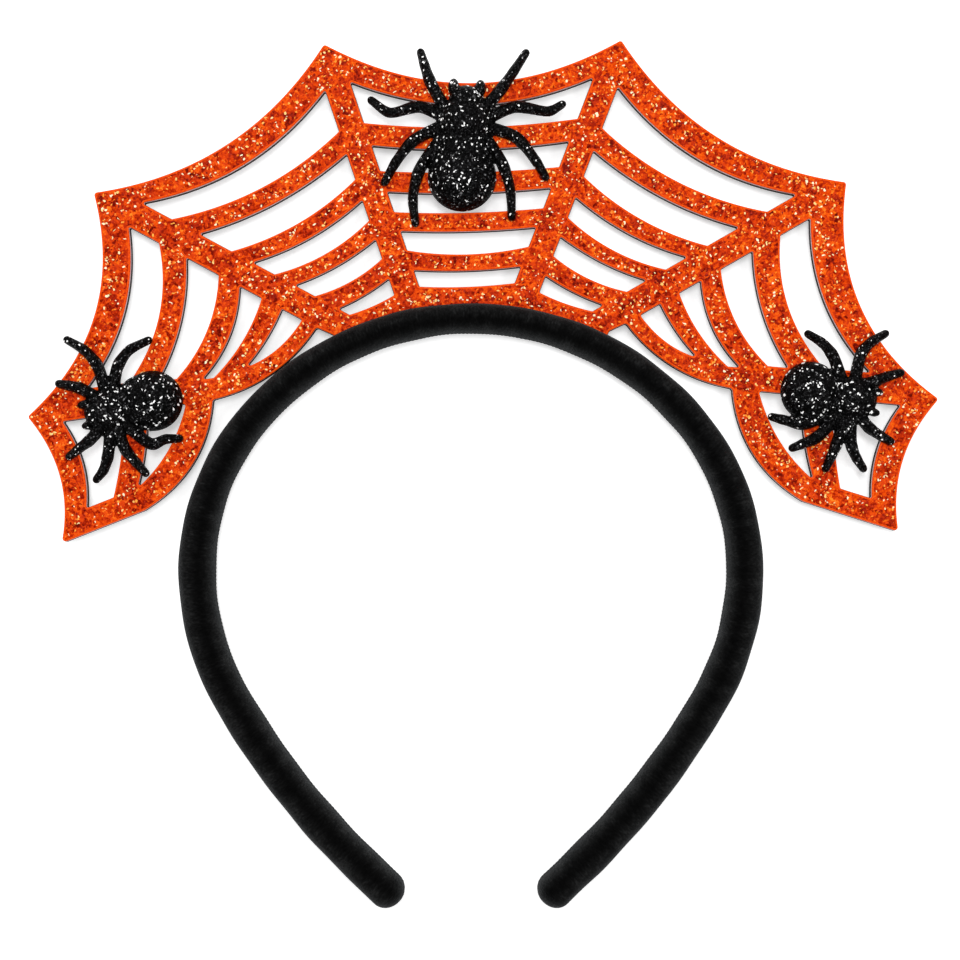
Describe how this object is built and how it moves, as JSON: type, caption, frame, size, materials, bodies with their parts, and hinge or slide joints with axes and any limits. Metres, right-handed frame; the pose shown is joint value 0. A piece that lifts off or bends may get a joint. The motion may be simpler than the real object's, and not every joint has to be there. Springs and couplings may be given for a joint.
{
  "type": "spider web headband",
  "caption": "Padded black alice band with a pierced orange glitter spider web standing on its crown and black glitter spiders glued to the web.",
  "frame": {"origin": "middle of the crown's flat back, on the band's centre line", "axes": "+X to the right across the web, +Y up from the crown, +Z out of the web's glitter face"},
  "size_m": [0.2273, 0.2165, 0.0141],
  "materials": {
    "band_velvet": "matt black velvet over padding",
    "web_felt": "matt black felt",
    "orange_glitter": "coarse orange glitter on a soft sheet",
    "black_glitter": "black with silver glitter"
  },
  "bodies": {
    "root": {"headband": "band_velvet", "web_backing": "web_felt", "web_face": "orange_glitter", "spider_centre": "black_glitter", "spider_right": "black_glitter", "spider_left": "black_glitter"}
  },
  "joints": []
}
